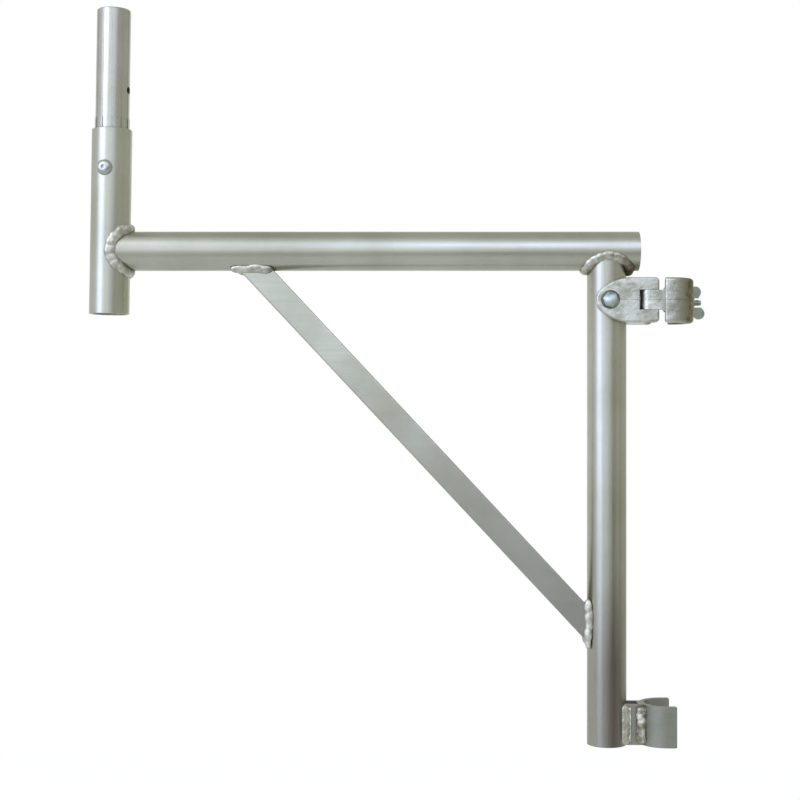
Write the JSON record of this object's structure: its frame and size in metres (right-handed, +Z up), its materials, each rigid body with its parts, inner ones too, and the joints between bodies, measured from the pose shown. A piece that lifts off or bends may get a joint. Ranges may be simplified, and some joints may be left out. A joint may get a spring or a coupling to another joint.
{
  "type": "scaffold bracket",
  "caption": "Welded tube bracket for a scaffold: a hinged clamp and a saddle hold it to an upright leg, and its braced arm carries a leaning post with a ribbed spigot.",
  "frame": {"origin": "on the axis of the upright leg that the clamp grips, at the clamp's mid-height", "axes": "+Z up along the gripped leg, the arm runs along -X, the clamp's hinge is on the -Y side and its wing nut on +X"},
  "size_m": [0.7891, 0.0824, 0.9334],
  "materials": {
    "tube": "drawn tube, satin with light streaks",
    "spigot": "extruded and ribbed, bright",
    "brace": "mill finish",
    "weld": "rippled weld bead",
    "stop": "dull mill finish",
    "casting": "sand cast, mottled",
    "rivet": "bright",
    "pin": "plain steel",
    "zinc": "clear zinc plate"
  },
  "bodies": {
    "frame": {"post_sleeve": "tube", "post_spigot": "spigot", "spigot_rivets": "rivet", "arm_tube": "tube", "leg_tube": "tube", "brace": "brace", "sleeve_weld": "weld", "elbow_weld": "weld", "brace_top_weld": "weld", "brace_foot_weld": "weld", "stop_spacer": "stop", "stop_saddle": "stop", "spacer_leg_welds": "weld", "spacer_saddle_welds": "weld", "clamp_body": "casting", "flap_pin": "pin", "swing_bolt_pin": "pin", "cross_bolt": "zinc", "cross_bolt_washers": "zinc", "cross_bolt_nut": "zinc"},
    "flap": {"clamp_flap": "casting"},
    "bolt": {"swing_bolt": "zinc"},
    "nut_seat": {"bolt_washer": "zinc"},
    "nut": {"wing_nut": "zinc"}
  },
  "joints": [
    {"name": "flap_swing", "type": "hinge", "parent": "frame", "child": "flap", "pos_m": [-0.02397, -0.0255, 0], "axis": [0, 0, 1], "range_deg": [-60, 0]},
    {"name": "bolt_swing", "type": "hinge", "parent": "frame", "child": "bolt", "pos_m": [-0.02397, 0.0315, 0], "axis": [0, 0, 1], "range_deg": [0, 145]},
    {"name": "nut_travel", "type": "slide", "parent": "bolt", "child": "nut_seat", "axis": [1, 0, 0], "range_m": [-0.0019, 0.0063]},
    {"name": "nut_turn", "type": "hinge", "parent": "nut_seat", "child": "nut", "pos_m": [0.03752, 0.0315, 0], "axis": [1, 0, 0], "range_deg": [-540, 1800]}
  ],
  "couplings": [
    {"joint": "bolt_swing", "follows": "flap_swing", "ratio": -2.4167},
    {"joint": "nut_travel", "follows": "nut_turn", "m_per_rad": 0.00019894}
  ]
}
